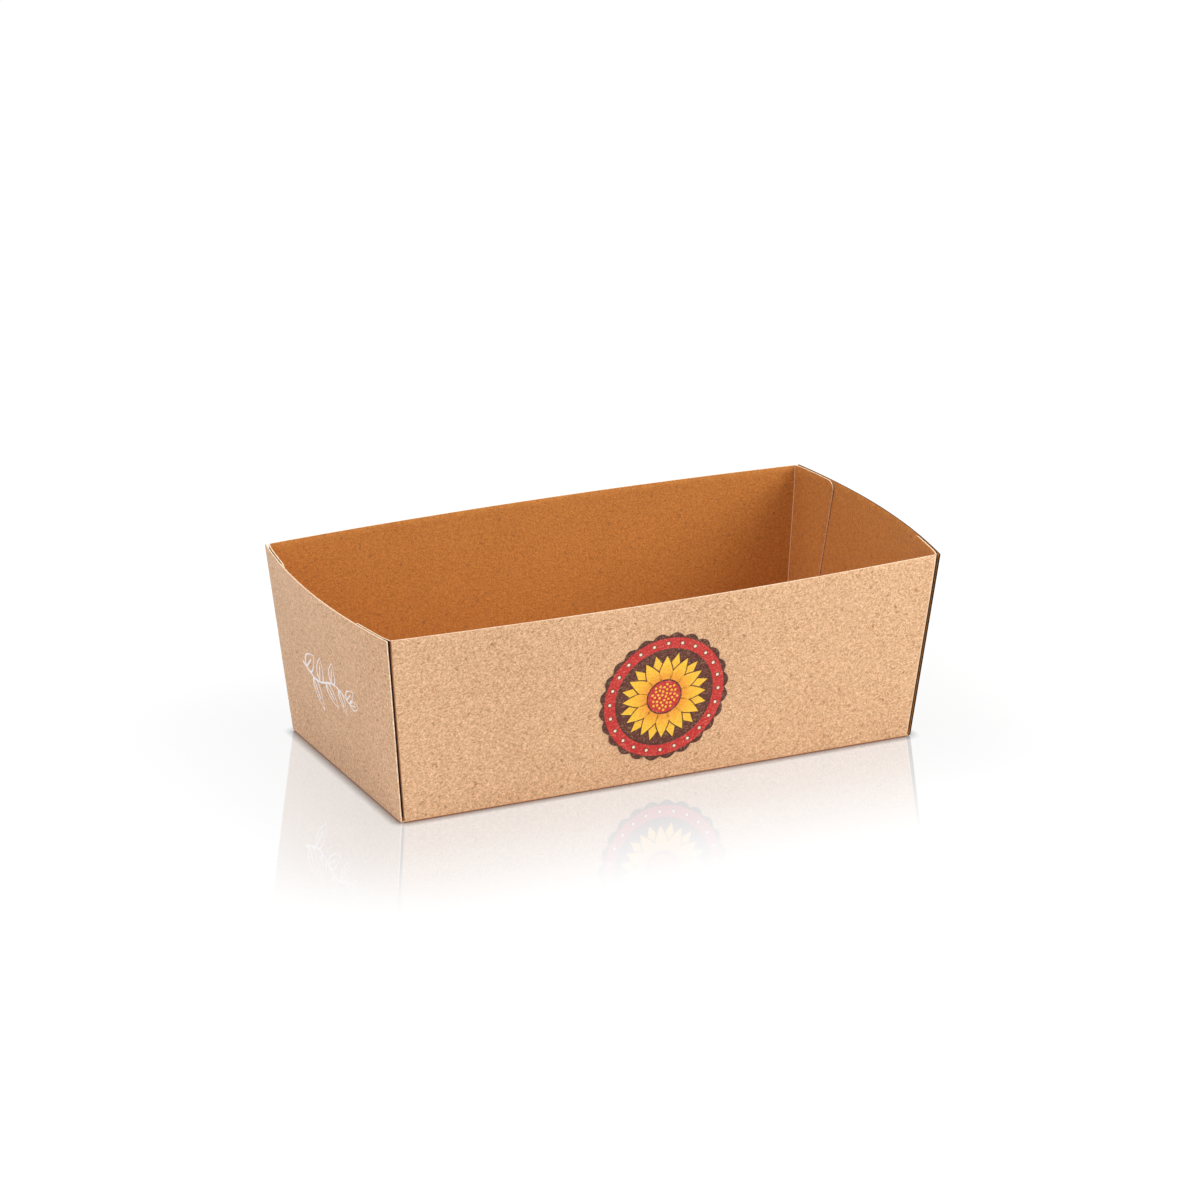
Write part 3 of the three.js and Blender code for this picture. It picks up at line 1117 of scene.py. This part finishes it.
def lightWorld():
    world = bpy.data.worlds.new("studioWorld")
    scene.world = world
    world.use_nodes = True
    tree = world.node_tree
    seen = tree.nodes["Background"]
    seen.inputs["Color"].default_value = (1, 1, 1, 1)
    seen.inputs["Strength"].default_value = 1.0
    fill = put(tree, "ShaderNodeBackground")
    fill.inputs["Color"].default_value = studio["fillColour"]
    fill.inputs["Strength"].default_value = studio["worldFill"]
    chosen = put(tree, "ShaderNodeMixShader")
    plainlySeen = underLightPath(tree, ("Is Camera Ray", "Is Glossy Ray", "Is Transmission Ray"))
    feed(tree, chosen.inputs[0], plainlySeen)
    feed(tree, chosen.inputs[1], fill.outputs[0])
    feed(tree, chosen.inputs[2], seen.outputs[0])
    feed(tree, tree.nodes["World Output"].inputs["Surface"], chosen.outputs[0])


def addLamp(name, place, size, power, colour):
    data = bpy.data.lights.new(name, "AREA")
    data.size = size
    data.energy = power
    data.color = colour
    lamp = bpy.data.objects.new(name, data)
    lamp.location = place
    toAim = Vector(studio["lampAim"]) - Vector(place)
    lamp.rotation_euler = toAim.to_track_quat("-Z", "Y").to_euler()
    scene.collection.objects.link(lamp)


def footprintDistance(tree, place):  # how far a place on the floor lies from the tray's foot
    x, y, _ = axes(tree, place)
    half = (traySizes["baseLength"] / 2, traySizes["baseWidth"] / 2)
    beyond = [calc(tree, "MAXIMUM", calc(tree, "SUBTRACT", calc(tree, "ABSOLUTE", value), reach), 0.0)
              for value, reach in zip((x, y), half)]
    return calc(tree, "SQRT", calc(tree, "ADD", *[calc(tree, "MULTIPLY", value, value) for value in beyond]))


def floorMaterial():  # white with a soft shadow, and a polish that fades away from the tray
    material, tree, shader = newMaterial("paleFloor", studio["bounceRoughness"], 0.0)
    shader.inputs["Base Color"].default_value = (*[studio["bounceShade"]] * 3, 1)
    seen = put(tree, "ShaderNodeBsdfDiffuse")
    seen.inputs["Color"].default_value = (*[studio["floorShade"]] * 3, 1)
    glow = put(tree, "ShaderNodeEmission")
    # painted contact shadow: ambient occlusion dims the floor's glow beside what stands on it
    hidden = put(tree, "ShaderNodeAmbientOcclusion", samples=8)  # darkens the floor beside what stands on it
    hidden.inputs["Distance"].default_value = studio["contactReach"]
    clear = calc(tree, "POWER", hidden.outputs["AO"], studio["contactPower"])
    feed(tree, glow.inputs["Strength"], calc(tree, "MULTIPLY", clear, studio["floorGlow"]))
    lifted = put(tree, "ShaderNodeAddShader")
    feed(tree, lifted.inputs[0], seen.outputs[0])
    feed(tree, lifted.inputs[1], glow.outputs[0])
    gloss = put(tree, "ShaderNodeBsdfGlossy")
    gloss.inputs["Roughness"].default_value = studio["floorRoughness"]
    distance = footprintDistance(tree, put(tree, "ShaderNodeTexCoord").outputs["Object"])
    maskedShare = spread(tree, distance, studio["polishStart"], studio["polishReach"])
    left = calc(tree, "SUBTRACT", 1.0, maskedShare)
    polished = put(tree, "ShaderNodeMixShader")
    feed(tree, polished.inputs[0], calc(tree, "MULTIPLY", left, studio["floorPolish"]))
    feed(tree, polished.inputs[1], lifted.outputs[0])
    feed(tree, polished.inputs[2], gloss.outputs[0])
    chosen = put(tree, "ShaderNodeMixShader")
    feed(tree, chosen.inputs[0], underLightPath(tree, ("Is Camera Ray",)))
    feed(tree, chosen.inputs[1], shader.outputs[0])
    feed(tree, chosen.inputs[2], polished.outputs[0])
    feed(tree, tree.nodes["Material Output"].inputs["Surface"], chosen.outputs[0])
    return material


def addFloor():
    half = studio["floorSize"] / 2
    mesh = bpy.data.meshes.new("studioFloor")
    corners = [(-half, -half), (half, -half), (half, half), (-half, half)]
    mesh.from_pydata([(x, y, -studio["floorDrop"]) for x, y in corners], [], [(0, 1, 2, 3)])
    mesh.materials.append(floorMaterial())
    floor = bpy.data.objects.new("studioFloor", mesh)
    scene.collection.objects.link(floor)


lightWorld()
for name, lamp in lamps.items():
    addLamp(name, **lamp)
addFloor()
print("studio lit")
